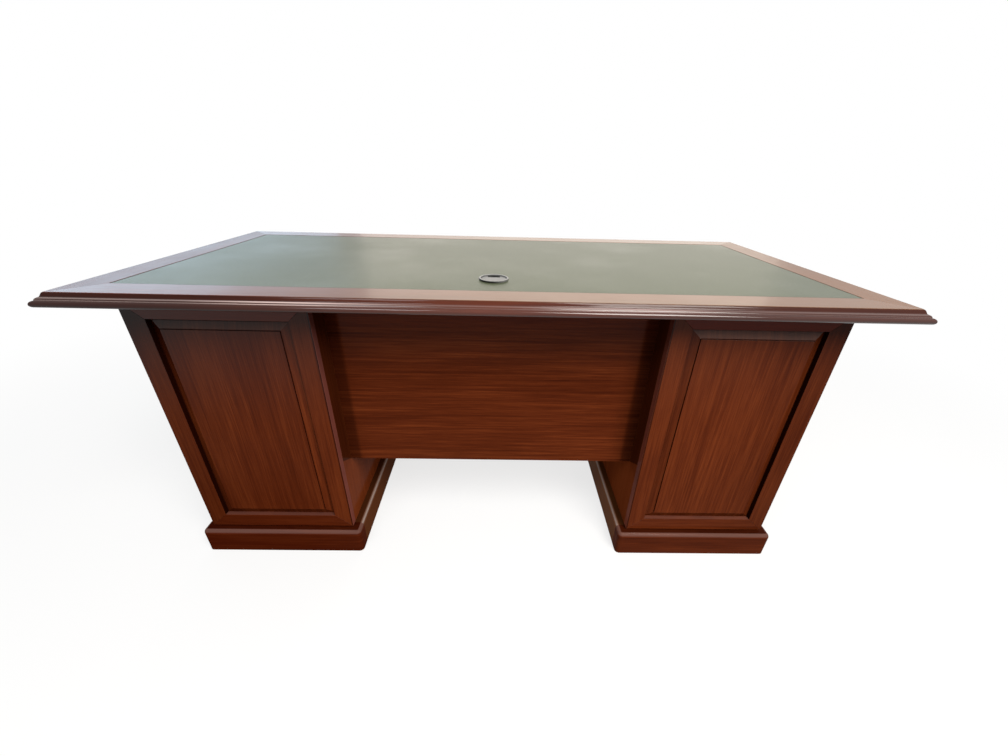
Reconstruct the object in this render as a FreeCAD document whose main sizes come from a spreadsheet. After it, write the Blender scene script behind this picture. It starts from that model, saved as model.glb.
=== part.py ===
import FreeCAD, Part
import os
import re
from FreeCAD import Placement, Rotation, Vector

# A double-pedestal desk in millimetres. X runs along the desk, -Y is the visitor's side with the raised
# panels, +Y is the sitter's side with the drawers, and the origin is on the floor under the top's middle.

# Driving dimensions, which the sheet holds.
sizes = {
    # the top: overall size, edge moulding, border, inlay
    "desk_width": 1740,
    "desk_depth": 800,
    "desk_height": 760,
    "top_thick": 26,
    "edge_height": 27,
    "edge_projection": 18.5,
    "moulding_land": 12,
    "border_width": 67,
    "border_thick": 4,
    "inlay_groove": 1.5,
    "inlay_drop": 0.4,
    # the cable grommet
    "grommet_inset": 180,
    "grommet_hole_radius": 28,
    "grommet_clear": 0.3,
    "grommet_wall": 1.6,
    "flange_radius": 33.5,
    "flange_thick": 4.4,
    "cap_radius": 29.5,
    "cap_thick": 1.4,
    "cap_recess": 2.2,
    "cap_skirt": 6,
    "slot_width": 28,
    "slot_reach": 18,
    # the pedestals and the kneehole
    "side_overhang": 92.5,
    "front_overhang": 74,
    "back_overhang": 55,
    "pedestal_width": 390,
    "side_thick": 18,
    "board_thick": 18,
    "reveal": 1.5,
    "plinth_height": 75,
    "plinth_thick": 36,
    "plinth_projection": 19,
    "plinth_side_projection": 23.5,
    "plinth_round": 12,
    "plinth_joint_step": 0.4,
    "shadow_gap": 4,
    "modesty_thick": 16,
    "modesty_height": 472.5,
    "modesty_setback": 75,
    "cleat_size": 20,
    # the mitred frames and raised panels
    "frame_thick": 20,
    "stile_width": 45.5,
    "rail_width": 40.5,
    "frame_gap": 4,
    "frame_head_gap": 5.5,
    "sight_depth": 12,
    "tongue_thick": 6,
    "tongue_reach": 8,
    "groove_clear": 1,
    "bevel_width": 23,
    "bevel_gap": 1,
    "field_step": 1.8,
    "quirk_width": 1.4,
    "quirk_depth": 2,
    # the fronts on the sitter's side
    "front_thick": 20,
    "front_gap": 3,
    "front_bevel": 14,
    "field_rise": 5,
    "file_front_height": 304,
    "centre_front_height": 78,
    # the drawer boxes
    "box_lift": 25,
    "box_head_room": 31,
    "file_head_room": 35,
    "box_back_room": 81,
    "centre_lift": 12,
    "centre_head_room": 16,
    "centre_back_room": 140,
    "wall_thick": 12,
    "base_thick": 6,
    "base_lift": 8,
    "base_groove": 5,
    # the runners
    "runner_space": 13,
    "runner_height": 40,
    "runner_depth": 9,
    "runner_wall": 1.5,
    "runner_clear": 0.3,
    "runner_short": 50,
    "centre_runner_short": 20,
    "runner_setback": 3,
    # the pulls
    "pull_pitch": 96,
    "rosette_radius": 13,
    "rosette_thick": 3,
    "post_radius": 4,
    "ball_radius": 7,
    "pull_axis": 18,
    "rod_radius": 2.8,
    "pin_clear": 0.05,
    "pin_reach": 3,
    "bail_bend": 6,
    "bail_drop": 32,
    "bail_side_gap": 0.5,
    "door_pull_inset": 85,
    "door_pull_drop": 171,
    # the lock
    "lock_flange_radius": 10,
    "lock_flange_thick": 2,
    "lock_barrel_radius": 8.5,
    "plug_radius": 6,
    "plug_proud": 1,
    "lock_tail": 4,
    "keyway_width": 1.2,
    "keyway_height": 7,
    "keyway_depth": 4,
    "cam_length": 22,
    "cam_width": 8,
    "cam_thick": 2,
    # the cupboard
    "door_gap": 3.5,
    "pivot_inset": 7,
    "pivot_radius": 2.5,
    "pivot_length": 12,
    "pivot_plate_size": 16,
    "pivot_plate_thick": 1.5,
    "pivot_boss_radius": 5,
    "shelf_height": 400,
    "shelf_clear": 1,
    "shelf_setback": 20,
    "shelf_pin_radius": 2.5,
    "shelf_pin_in": 10,
    "shelf_pin_out": 9,
    "shelf_pin_inset": 60,
    # the screws that hold the pedestals to the top
    "screw_radius": 2,
    "screw_bite": 14,
    "screw_head_radius": 4.5,
    "screw_head_thick": 2.5,
    "screw_inset": 45,
    # how far a cutting tool runs past what it cuts
    "overrun": 5,
}

doc = FreeCAD.newDocument("desk")
sheet = doc.addObject("Spreadsheet::Sheet", "dims")
for row, (alias, value) in enumerate(sizes.items(), 1):
    sheet.set(f"A{row}", str(value))
    sheet.setAlias(f"A{row}", alias)
doc.recompute()

SIZE_NAME = re.compile(r"\b(" + "|".join(sizes) + r")\b")
nodes = []

# Places that several pieces share, as formulas in the sheet's names.
flat_half_x = "(desk_width / 2 - edge_projection)"
flat_half_y = "(desk_depth / 2 - edge_projection)"
core_half_x = f"({flat_half_x} - moulding_land)"
core_half_y = f"({flat_half_y} - moulding_land)"
top_under = "(desk_height - top_thick)"
core_top = "(desk_height - border_thick)"
inlay_top = "(desk_height - inlay_drop)"
grommet_y = "(grommet_inset - desk_depth / 2)"
pedestal_outer = "(desk_width / 2 - side_overhang)"
pedestal_inner = f"({pedestal_outer} - pedestal_width)"
pedestal_middle = f"({pedestal_outer} - pedestal_width / 2)"
frame_face = "(front_overhang - desk_depth / 2)"
frame_back = f"({frame_face} + frame_thick)"
user_face = "(desk_depth / 2 - back_overhang)"
carcass_back = f"({user_face} - front_thick)"
outer_face = f"({pedestal_outer} - reveal)"
inner_face = f"({pedestal_inner} + reveal)"
outer_inside = f"({outer_face} - side_thick)"
inner_inside = f"({inner_face} + side_thick)"
fronts_bottom = "(plinth_height + shadow_gap)"
fronts_top = f"({top_under} - front_gap)"


def bind(piece, **formulas):
    """Tie each property of a piece to a formula in the sheet's names."""
    for name, formula in formulas.items():
        piece.setExpression(name, SIZE_NAME.sub(r"dims.\1", formula))
    return piece


def place(piece, x="0", y="0", z="0", turn=None):
    """Put a piece at a point given by formulas, turned if asked."""
    if turn:
        piece.Placement = Placement(Vector(), turn)
    for axis, formula in zip("xyz", (x, y, z)):
        piece.setExpression(f"Placement.Base.{axis}", SIZE_NAME.sub(r"dims.\1", formula))
    return piece


def slab(name, x, y, z):
    """A rectangular board between pairs of limits."""
    board = doc.addObject("Part::Box", name)
    spans = [f"({high}) - ({low})" for low, high in (x, y, z)]
    bind(board, Length=spans[0], Width=spans[1], Height=spans[2])
    return place(board, x[0], y[0], z[0])


AXIS_TURNS = {
    "x": Rotation(Vector(0, 1, 0), 90),
    "y": Rotation(Vector(1, 0, 0), -90),
    "z": Rotation(),
}


def rod(name, axis, radius, length, x="0", y="0", z="0"):
    """A round bar that starts at a point and runs along an axis."""
    bar = doc.addObject("Part::Cylinder", name)
    bind(bar, Radius=radius, Height=length)
    return place(bar, x, y, z, AXIS_TURNS[axis])


def frustum(name, near, far, y):
    """A block that tapers along Y from one half width and half height to another."""
    block = doc.addObject("Part::Wedge", name)
    bind(block, Xmin=f"-({near[0]})", Xmax=near[0], Zmin=f"-({near[1]})", Zmax=near[1], Ymin=y[0], Ymax=y[1])
    bind(block, X2min=f"-({far[0]})", X2max=far[0], Z2min=f"-({far[1]})", Z2max=far[1])
    return block


def mitred_bar(name, half_run, half_reach, width, z, next_width=None):
    """A bar along X on the -Y side of a rectangle, mitred to the next bars, which may be of another width."""
    bar = doc.addObject("Part::Wedge", name)
    short = f"({half_run}) - ({next_width or width})"
    bind(bar, Xmin=f"-({half_run})", Xmax=half_run, X2min=f"-({short})", X2max=short)
    bind(bar, Ymin=f"-({half_reach})", Ymax=f"({width}) - ({half_reach})")
    bind(bar, Zmin=z[0], Zmax=z[1], Z2min=z[0], Z2max=z[1])
    return bar


def cut(name, base, *tools):
    """A piece less one or more others."""
    result = doc.addObject("Part::Cut", name)
    result.Base = base
    result.Tool = tools[0] if len(tools) == 1 else join(f"{name}_tools", *tools)
    return result


def join(name, *pieces):
    """Several shapes made one solid."""
    result = doc.addObject("Part::MultiFuse", name)
    result.Shapes = list(pieces)
    return result


def shared(name, *pieces):
    """What several shapes have in common."""
    result = doc.addObject("Part::MultiCommon", name)
    result.Shapes = list(pieces)
    return result


def group(name, *pieces):
    """Separate solids kept together as one sub-part."""
    result = doc.addObject("Part::Compound", name)
    result.Links = list(pieces)
    return result


def mirrored(name, source):
    """The same piece on the other pedestal."""
    twin = doc.addObject("Part::Mirroring", name)
    twin.Source = source
    twin.Normal = Vector(1, 0, 0)
    return twin


def keep(piece):
    """Mark a finished sub-part, whose label names its file."""
    nodes.append(piece)
    return piece


def size(name):
    """A driving dimension as a number."""
    return float(sheet.get(name))


# The top: a core board, mitred border strips and a leather inlay on it, and mouldings round its edge.
def screw_places():
    """Where the screws go up through the pedestal tops, as formulas for x and y."""
    across = [f"{inner_inside} + screw_inset", f"{outer_inside} - screw_inset"]
    along = [f"{frame_back} + screw_inset", f"{carcass_back} - screw_inset"]
    return [(f"{sign}({x})", y) for sign in ("-", "") for x in across for y in along]


screw_start = f"({top_under} - board_thick)"
screw_shanks = [
    rod(f"screw_shank_{number}", "z", "screw_radius", "board_thick + screw_bite", x, y, screw_start)
    for number, (x, y) in enumerate(screw_places())
]
screw_heads = [
    rod(f"screw_head_{number}", "z", "screw_head_radius", "screw_head_thick", x, y,
        f"{screw_start} - screw_head_thick")
    for number, (x, y) in enumerate(screw_places())
]
keep(group("top_screws", *[
    join(f"screw_{number}", shank, head)
    for number, (shank, head) in enumerate(zip(screw_shanks, screw_heads))
]))

grommet_hole = rod("grommet_hole", "z", "grommet_hole_radius", "top_thick + 2 * overrun",
                   "0", grommet_y, f"{top_under} - overrun")
core = slab("core", (f"-{core_half_x}", core_half_x), (f"-{core_half_y}", core_half_y), (top_under, core_top))
keep(cut("top_board", core, grommet_hole, *screw_shanks))

inlay_half_x = f"{flat_half_x} - border_width - inlay_groove"
inlay_half_y = f"{flat_half_y} - border_width - inlay_groove"
skin = slab("skin", (f"-({inlay_half_x})", inlay_half_x), (f"-({inlay_half_y})", inlay_half_y),
            (core_top, inlay_top))
keep(cut("leather_inlay", skin, grommet_hole))


def half_turn_pair(name, first):
    """A piece and its twin on the opposite edge of the top."""
    twin = doc.addObject("Part::Compound", f"{name}_twin")
    twin.Links = [first]
    twin.Placement = Placement(Vector(), Rotation(Vector(0, 0, 1), 180))
    return keep(group(name, first, twin))


def quarter_turned(piece):
    """Turn a piece made for the long front edge to the short right-hand edge."""
    piece.Placement = Placement(Vector(), Rotation(Vector(0, 0, 1), 90))
    return piece


border_height = (core_top, "desk_height")
half_turn_pair("border_long", mitred_bar(
    "border_front", flat_half_x, flat_half_y, "border_width", border_height))
half_turn_pair("border_short", quarter_turned(mitred_bar(
    "border_end", flat_half_y, flat_half_x, "border_width", border_height)))

# The moulding's outline goes down from the border's edge: a steep shoulder, a step that falls away and a fillet,
# then a bullnose. Each corner is an outward and a downward share of the moulding's projection and height.
SHOULDER_SHARES = [(0, 0.03), (0.06, 0.035), (0.14, 0.115), (0.21, 0.22)]
STEP_SHARES = [(0.27, 0.30), (0.45, 0.345), (0.56, 0.395), (0.62, 0.46), (0.635, 0.52)]


def moulding_outline(name, half_reach):
    """The moulding's section in the YZ plane, rebated for the border, its place bound to the edge's reach."""
    projection = size("edge_projection")
    height = size("edge_height")
    shares = SHOULDER_SHARES + STEP_SHARES
    steps = [Vector(0, -out * projection, -down * height) for out, down in shares]
    nose = (height + steps[-1].z) / 2
    nose_middle = Vector(0, nose - projection, nose - height)
    land = size("moulding_land")
    rebate = Vector(0, 0, -size("border_thick"))
    inner_top = rebate + Vector(0, land, 0)
    inner_bottom = Vector(0, land, -height)
    nose_top = nose_middle + Vector(0, 0, nose)
    nose_bottom = nose_middle - Vector(0, 0, nose)
    corners = [nose_bottom, inner_bottom, inner_top, rebate, *steps, nose_top]
    edges = [Part.LineSegment(a, b).toShape() for a, b in zip(corners, corners[1:])]
    edges.append(Part.Arc(nose_top, nose_middle - Vector(0, nose, 0), nose_bottom).toShape())
    outline = doc.addObject("Part::Feature", name)
    outline.Shape = Part.Face(Part.Wire(edges))
    return place(outline, "0", f"edge_projection - ({half_reach})", "desk_height")


def edge_moulding(name, half_run, half_reach):
    """One length of moulding on the -Y edge, mitred at both ends."""
    length = doc.addObject("Part::Extrusion", f"{name}_length")
    length.Base = moulding_outline(f"{name}_outline", half_reach)
    length.DirMode = "Custom"
    length.Dir = Vector(1, 0, 0)
    length.Symmetric = True
    bind(length, LengthFwd=f"2 * ({half_run})")
    ends = mitred_bar(f"{name}_ends", half_run, half_reach, "edge_projection + moulding_land",
                      ("desk_height - edge_height", "desk_height"))
    return shared(name, length, ends)


half_turn_pair("edge_moulding_long", edge_moulding("moulding_front", "desk_width / 2", "desk_depth / 2"))
half_turn_pair("edge_moulding_short", quarter_turned(
    edge_moulding("moulding_end", "desk_depth / 2", "desk_width / 2")))


# The cable grommet: a flanged sleeve in the top and a loose cap that turns in it.
def grommet():
    """The sleeve's bore is stepped, so that the cap lies in a rebate with its skirt in the bore."""
    def disc(name, radius, low, high):
        return rod(name, "z", radius, f"({high}) - ({low})", "0", grommet_y, low)

    sleeve_radius = "(grommet_hole_radius - grommet_clear)"
    bore_radius = f"({sleeve_radius} - grommet_wall)"
    skirt_radius = f"({bore_radius} - grommet_clear)"
    flange_top = f"({inlay_top} + flange_thick)"
    cap_top = f"({flange_top} - cap_recess)"
    ledge = f"({cap_top} - cap_thick)"
    flange = disc("flange", "flange_radius", inlay_top, flange_top)
    tube = disc("tube", sleeve_radius, top_under, flange_top)
    bore = disc("bore", bore_radius, f"{top_under} - overrun", f"{flange_top} + overrun")
    rebate = disc("rebate", "cap_radius + grommet_clear", ledge, f"{flange_top} + overrun")
    keep(cut("grommet_sleeve", join("sleeve_blank", flange, tube), bore, rebate))

    lid = disc("lid", "cap_radius", ledge, cap_top)
    skirt = disc("skirt", skirt_radius, f"{ledge} - cap_skirt", ledge)
    hollow = disc("hollow", f"{skirt_radius} - grommet_wall", f"{ledge} - cap_skirt - overrun", ledge)
    slot = slab("slot", ("-slot_width / 2", "slot_width / 2"),
                (f"{grommet_y} + cap_radius - slot_reach", f"{grommet_y} + cap_radius + overrun"),
                (f"{ledge} - cap_skirt - overrun", f"{flange_top} + overrun"))
    keep(cut("grommet_cap", join("cap_blank", lid, cut("skirt_ring", skirt, hollow)), slot))


grommet()

# The modesty panel closes the upper kneehole and is screwed to a batten on each pedestal.
modesty_front = f"({frame_face} + modesty_setback)"
modesty_back = f"({modesty_front} + modesty_thick)"
modesty_span = (f"{top_under} - modesty_height", top_under)
keep(slab("modesty_panel", (f"-{inner_face}", inner_face), (modesty_front, modesty_back), modesty_span))
cleat = slab("cleat", (f"-{inner_face}", f"cleat_size - {inner_face}"),
             (modesty_back, f"{modesty_back} + cleat_size"),
             (modesty_span[0], f"{fronts_top} - centre_front_height"))
keep(group("modesty_cleats", cleat, mirrored("cleat_twin", cleat)))


# The pedestals, built on the left and mirrored to the right.
def pair(name, left, right_cuts=()):
    """Keep a piece of the left pedestal and its mirrored twin, which may have cuts of its own."""
    left.Label = f"left_{name}"
    keep(left)
    twin = mirrored(f"right_{name}_twin" if right_cuts else f"right_{name}", left)
    keep(cut(f"right_{name}", twin, *right_cuts) if right_cuts else twin)


def shelf_pins():
    """Four pins, each half in a side board and half under the shelf."""
    length = "shelf_pin_in + shelf_pin_out"
    height = "shelf_height - shelf_pin_radius"
    starts = (f"{inner_inside} - shelf_pin_in", f"{outer_inside} - shelf_pin_out")
    depths = (f"{frame_back} + shelf_pin_inset", f"{carcass_back} - shelf_pin_inset")
    return [
        [rod(f"shelf_pin_{side}{end}", "x", "shelf_pin_radius", length, x, y, height)
         for end, y in enumerate(depths)]
        for side, x in enumerate(starts)
    ]


inner_pins, outer_pins = shelf_pins()
keep(group("shelf_pins", *inner_pins, *outer_pins))

carcass_y = (frame_back, carcass_back)
carcass_z = ("plinth_height", top_under)
pair("outer_side", slab("left_outer_side", (f"-{outer_face}", f"-{outer_inside}"), carcass_y, carcass_z),
     outer_pins)
pair("inner_side", slab("left_inner_side", (f"-{inner_inside}", f"-{inner_face}"), carcass_y, carcass_z),
     inner_pins)
inside_x = (f"-{outer_inside}", f"-{inner_inside}")
pair("bottom", slab("left_bottom", inside_x, carcass_y, ("plinth_height", "plinth_height + board_thick")))
top_blank = slab("left_top_blank", inside_x, carcass_y, (screw_start, top_under))
pair("top", cut("left_top", top_blank, *screw_shanks[:len(screw_shanks) // 2]))


def plinth_board(name, x, y, sides):
    """A board with its top edge rounded on the sides that show, and so is each corner between two of them."""
    body = doc.addObject("PartDesign::Body", name)
    block = body.newObject("PartDesign::AdditiveBox", f"{name}_block")
    bind(block, Length=f"{x[1]} - ({x[0]})", Width=f"{y[1]} - ({y[0]})", Height="plinth_height")
    doc.recompute()
    box = block.Shape.BoundBox
    reach = {"low_x": (0, box.XMin), "high_x": (0, box.XMax), "low_y": (1, box.YMin), "high_y": (1, box.YMax)}
    rounded = []
    for number, edge in enumerate(block.Shape.Edges, 1):
        middle = edge.CenterOfMass
        shown = [side for side in sides if abs(middle[reach[side][0]] - reach[side][1]) < edge.Tolerance]
        at_top = abs(middle.z - box.ZMax) < edge.Tolerance
        if len(shown) == 2 or at_top and shown:
            rounded.append(f"Edge{number}")
    fillet = body.newObject("PartDesign::Fillet", f"{name}_fillet")
    fillet.Base = (block, rounded)
    bind(fillet, Radius="plinth_round")
    body.Tip = fillet
    return place(body, x[0], y[0])


def plinth():
    """Four butted boards; the front and back ones run full width and stand a little proud of the side ones."""
    low_x = f"-({pedestal_outer} + plinth_side_projection)"
    high_x = f"plinth_side_projection - {pedestal_inner}"
    low_y = f"{frame_face} - plinth_projection"
    high_y = f"{user_face} + plinth_projection"
    side_y = (f"{low_y} + plinth_thick", f"{high_y} - plinth_thick")
    outer_x = f"({low_x} + plinth_joint_step)"
    inner_x = f"({high_x} - plinth_joint_step)"
    pair("plinth", group(
        "left_plinth",
        plinth_board("plinth_front", (low_x, high_x), (low_y, side_y[0]), ("low_x", "high_x", "low_y")),
        plinth_board("plinth_back", (low_x, high_x), (side_y[1], high_y), ("low_x", "high_x", "high_y")),
        plinth_board("plinth_outer", (outer_x, f"{outer_x} + plinth_thick"), side_y, ("low_x",)),
        plinth_board("plinth_inner", (f"{inner_x} - plinth_thick", inner_x), side_y, ("high_x",))))


plinth()

# The frame on the visitor's face: four mitred members round a raised panel that floats in their groove.
frame_bottom = "(plinth_height + frame_gap)"
frame_top = f"({top_under} - frame_head_gap)"
frame_half_z = f"(({frame_top} - {frame_bottom}) / 2)"
frame_middle_z = f"(({frame_top} + {frame_bottom}) / 2)"
sight_half_x = "(pedestal_width / 2 - stile_width)"
sight_half_z = f"({frame_half_z} - rail_width)"


def frame_slab(name, spread, depth):
    """A rectangle in the frame's plane, larger or smaller than the sight by a spread, between two depths."""
    half_x = f"({sight_half_x} + {spread})"
    half_z = f"({sight_half_z} + {spread})"
    return slab(name, (f"-{pedestal_middle} - {half_x}", f"{half_x} - {pedestal_middle}"),
                (f"{frame_face} + {depth[0]}", f"{frame_face} + {depth[1]}"),
                (f"{frame_middle_z} - {half_z}", f"{frame_middle_z} + {half_z}"))


def frame_member(name, half_run, half_reach, widths, angle, groove):
    """One mitred member: made lying flat, then stood up and turned round the frame's middle."""
    width, next_width = widths
    bar = mitred_bar(f"{name}_bar", half_run, half_reach, width, ("-frame_thick", "0"), next_width)
    upright = Rotation(Vector(0, 1, 0), angle) * Rotation(Vector(1, 0, 0), 90)
    place(bar, f"-{pedestal_middle}", frame_face, frame_middle_z, upright)
    return cut(name, bar, groove)


tongue_depth = ("sight_depth", "sight_depth + tongue_thick")
groove = frame_slab("groove", "tongue_reach + groove_clear", tongue_depth)
pair("frame_rails", group("left_frame_rails", *[
    frame_member(f"frame_rail_{angle}", "pedestal_width / 2", frame_half_z, ("rail_width", "stile_width"),
                 angle, groove)
    for angle in (0, 180)
]))
pair("frame_stiles", group("left_frame_stiles", *[
    frame_member(f"frame_stile_{angle}", frame_half_z, "pedestal_width / 2", ("stile_width", "rail_width"),
                 angle, groove)
    for angle in (90, 270)
]))


def raised_panel():
    """A tongue all round, a bevel up towards the field, and a quirk and a step at the field's edge."""
    tongue = frame_slab("panel_tongue", "tongue_reach", tongue_depth)
    bevel = frustum("panel_bevel", (f"{sight_half_x} - bevel_gap", f"{sight_half_z} - bevel_gap"),
                    (f"{sight_half_x} - bevel_width", f"{sight_half_z} - bevel_width"),
                    ("-sight_depth", "-field_step"))
    place(bevel, f"-{pedestal_middle}", frame_face, frame_middle_z, Rotation(Vector(0, 0, 1), 180))
    blank = join("panel_blank", tongue, bevel)
    quirk = frame_slab("panel_quirk", "quirk_width - bevel_width", ("0", "field_step + quirk_depth"))
    field = frame_slab("panel_field", "-bevel_width", ("0", tongue_depth[1]))
    pair("raised_panel", join("left_raised_panel", cut("panel_quirked", blank, quirk), field))


raised_panel()


# The fronts on the sitter's side are boards with a bevelled field.
def fielded_front(name, x, back, z):
    """A board from its back to the sitter's face, with a sloping margin round a flat field."""
    shoulder = f"({user_face} - field_rise)"
    board = slab(f"{name}_board", x, (back, shoulder), z)
    half_x = f"(({x[1]}) - ({x[0]})) / 2"
    half_z = f"(({z[1]}) - ({z[0]})) / 2"
    field = frustum(f"{name}_field", (half_x, half_z), (f"{half_x} - front_bevel", f"{half_z} - front_bevel"),
                    ("0", "field_rise"))
    place(field, f"(({x[1]}) + ({x[0]})) / 2", shoulder, f"(({z[1]}) + ({z[0]})) / 2")
    return join(name, board, field)


# The pulls: two rosettes with ball-headed posts, and a bail of round rod whose ends turn in the balls.
def pull_posts(name, middle, height):
    """Two posts on a front, each drilled from the inner side for the bail's end."""
    axis_y = f"{user_face} + pull_axis"
    blind = "pin_reach + bail_side_gap"
    mouth = "ball_radius + overrun"
    posts = []
    for side, sign, drill_back in (("left", "-", blind), ("right", "+", mouth)):
        x = f"({middle} {sign} pull_pitch / 2)"
        rosette = rod(f"{name}_{side}_rosette", "y", "rosette_radius", "rosette_thick", x, user_face, height)
        stem = rod(f"{name}_{side}_stem", "y", "post_radius", "pull_axis", x, user_face, height)
        ball = doc.addObject("Part::Sphere", f"{name}_{side}_ball")
        bind(ball, Radius="ball_radius")
        place(ball, x, axis_y, height)
        drill = rod(f"{name}_{side}_drill", "x", "rod_radius + pin_clear", f"{blind} + {mouth}",
                    f"{x} - ({drill_back})", axis_y, height)
        posts.append(cut(f"{name}_{side}", join(f"{name}_{side}_blank", rosette, stem, ball), drill))
    keep(group(name, *posts))


def bail(name, middle, height):
    """One bent rod: an end in each post, two arms and the grip, joined by quarter bends."""
    axis_y = f"({user_face} + pull_axis)"
    bend_x = "(pull_pitch / 2 - ball_radius - bail_side_gap)"
    arm = f"({bend_x} - bail_bend)"
    pin_end = "(pull_pitch / 2 + pin_reach)"
    low = f"({height} - bail_drop)"
    grip = f"({arm} - bail_bend)"
    pieces = [rod(f"{name}_grip", "x", "rod_radius", f"2 * {grip}", f"{middle} - {grip}", axis_y, low)]
    ends = (("left", "-", pin_end, 0, 180), ("right", "+", bend_x, 90, 270))
    for side, sign, pin_start, upper, lower in ends:
        pieces += [
            rod(f"{name}_{side}_pin", "x", "rod_radius", f"{pin_end} - {bend_x}",
                f"{middle} {sign} {pin_start}", axis_y, height),
            rod(f"{name}_{side}_arm", "z", "rod_radius", "bail_drop - 2 * bail_bend",
                f"{middle} {sign} {arm}", axis_y, f"{low} + bail_bend"),
            quarter_bend(f"{name}_{side}_upper", f"{middle} {sign} {bend_x}", axis_y,
                         f"{height} - bail_bend", upper),
            quarter_bend(f"{name}_{side}_lower", f"{middle} {sign} {grip}", axis_y,
                         f"{low} + bail_bend", lower),
        ]
    keep(join(name, *pieces))


def quarter_bend(name, x, y, z, start):
    """A quarter ring of rod in the XZ plane, from a start angle counted from +X towards +Z."""
    bend = doc.addObject("Part::Torus", name)
    bend.Angle3 = 90
    bind(bend, Radius1="bail_bend", Radius2="rod_radius")
    stand = Rotation(Vector(0, 1, 0), -start) * Rotation(Vector(1, 0, 0), 90)
    return place(bend, x, y, z, stand)


# The drawers: a front, three walls, a bottom let into them, and half of a pair of channel runners.
def channel(name, web_x, towards, length, height, depth, y_back, z_middle):
    """A channel along Y whose web starts at one X and whose flanges point towards +X or -X."""
    low_z = f"{z_middle} - ({height}) / 2"
    high_z = f"{z_middle} + ({height}) / 2"
    y = (f"{y_back} - {length}", y_back)
    if towards > 0:
        outer = (web_x, f"{web_x} + {depth}")
        inner = (f"{web_x} + runner_wall", f"{web_x} + {depth} + overrun")
    else:
        outer = (f"{web_x} - ({depth})", web_x)
        inner = (f"{web_x} - ({depth}) - overrun", f"{web_x} - runner_wall")
    bar = slab(f"{name}_bar", outer, y, (low_z, high_z))
    room = slab(f"{name}_room", inner, (f"{y[0]} - overrun", f"{y[1]} + overrun"),
                (f"{low_z} + runner_wall", f"{high_z} - runner_wall"))
    return cut(name, bar, room)


def drawer(name, space_x, z, back_y, lift, head_room, runner_short):
    """One drawer between two side faces, lower than its front. Its cabinet runners are given back."""
    low_x = f"({space_x[0]} + runner_space)"
    high_x = f"({space_x[1]} - runner_space)"
    low_z = f"({z[0]} + {lift})"
    high_z = f"({z[1]} - {head_room})"
    wall_y = (back_y, carcass_back)
    inside = (f"{low_x} + wall_thick", f"{high_x} - wall_thick")
    base = slab(f"{name}_bottom", (f"{inside[0]} - base_groove", f"{inside[1]} + base_groove"),
                (f"{back_y} + wall_thick - base_groove", carcass_back),
                (f"{low_z} + base_lift", f"{low_z} + base_lift + base_thick"))
    walls = {
        "side_a": ((low_x, inside[0]), wall_y),
        "side_b": ((inside[1], high_x), wall_y),
        "back": (inside, (back_y, f"{back_y} + wall_thick")),
    }
    keep(group(f"{name}_walls", *[
        cut(f"{name}_{wall}", slab(f"{name}_{wall}_board", x, y, (low_z, high_z)), base)
        for wall, (x, y) in walls.items()
    ]))
    keep(base)
    middle_z = f"(({low_z} + {high_z}) / 2)"
    runner_y = f"({carcass_back} - runner_setback)"
    length = f"({carcass_back} - {back_y} - {runner_short})"
    slim = "runner_height - 2 * (runner_wall + runner_clear)"
    reach = "(runner_space - runner_wall - runner_clear)"
    keep(group(f"{name}_runners",
               channel(f"{name}_runner_a", low_x, -1, length, slim, reach, runner_y, middle_z),
               channel(f"{name}_runner_b", high_x, 1, length, slim, reach, runner_y, middle_z)))
    track = (length, "runner_height", "runner_depth", runner_y, middle_z)
    return [
        channel(f"{name}_track_a", space_x[0], 1, *track),
        channel(f"{name}_track_b", space_x[1], -1, *track),
    ]


front_x = (f"-{outer_face}", f"-{inner_face}")
file_top = f"({fronts_bottom} + file_front_height)"
box_front_height = f"(({fronts_top} - {file_top} - 2 * front_gap) / 2)"
middle_bottom = f"({file_top} + front_gap)"
upper_bottom = f"({fronts_top} - {box_front_height})"
drawer_fronts = {
    "file_drawer": ((fronts_bottom, file_top), "file_head_room"),
    "middle_drawer": ((middle_bottom, f"({middle_bottom} + {box_front_height})"), "box_head_room"),
    "upper_drawer": ((upper_bottom, fronts_top), "box_head_room"),
}
drawer_back = f"({frame_back} + box_back_room)"
left_tracks = []
for drawer_name, (front_z, head_room) in drawer_fronts.items():
    keep(fielded_front(f"{drawer_name}_front", front_x, carcass_back, front_z))
    left_tracks += drawer(drawer_name, (f"-{outer_inside}", f"-{inner_inside}"), front_z, drawer_back,
                          "box_lift", head_room, "runner_short")
    front_middle = f"(({front_z[0]} + {front_z[1]}) / 2)"
    pull_posts(f"{drawer_name}_posts", f"-{pedestal_middle}", front_middle)
    bail(f"{drawer_name}_bail", f"-{pedestal_middle}", front_middle)
keep(group("left_tracks", *left_tracks))

# The centre drawer hangs between the pedestals and has a lock in its front.
centre_half = f"({pedestal_inner} - reveal)"
centre_z = (f"({fronts_top} - centre_front_height)", fronts_top)
lock_z = f"(({centre_z[0]} + {centre_z[1]}) / 2)"
lock_back = f"({carcass_back} - lock_tail)"
lock_hole = rod("lock_hole", "y", "lock_barrel_radius", "front_thick + 2 * overrun", "0",
                f"{carcass_back} - overrun", lock_z)
centre_panel = fielded_front("centre_front", (f"-{centre_half}", centre_half), carcass_back, centre_z)
keep(cut("centre_drawer_front", centre_panel, lock_hole))
keep(group("centre_tracks", *drawer(
    "centre_drawer", (f"-{inner_face}", inner_face), centre_z, f"({modesty_back} + centre_back_room)",
    "centre_lift", "centre_head_room", "centre_runner_short")))


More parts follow.
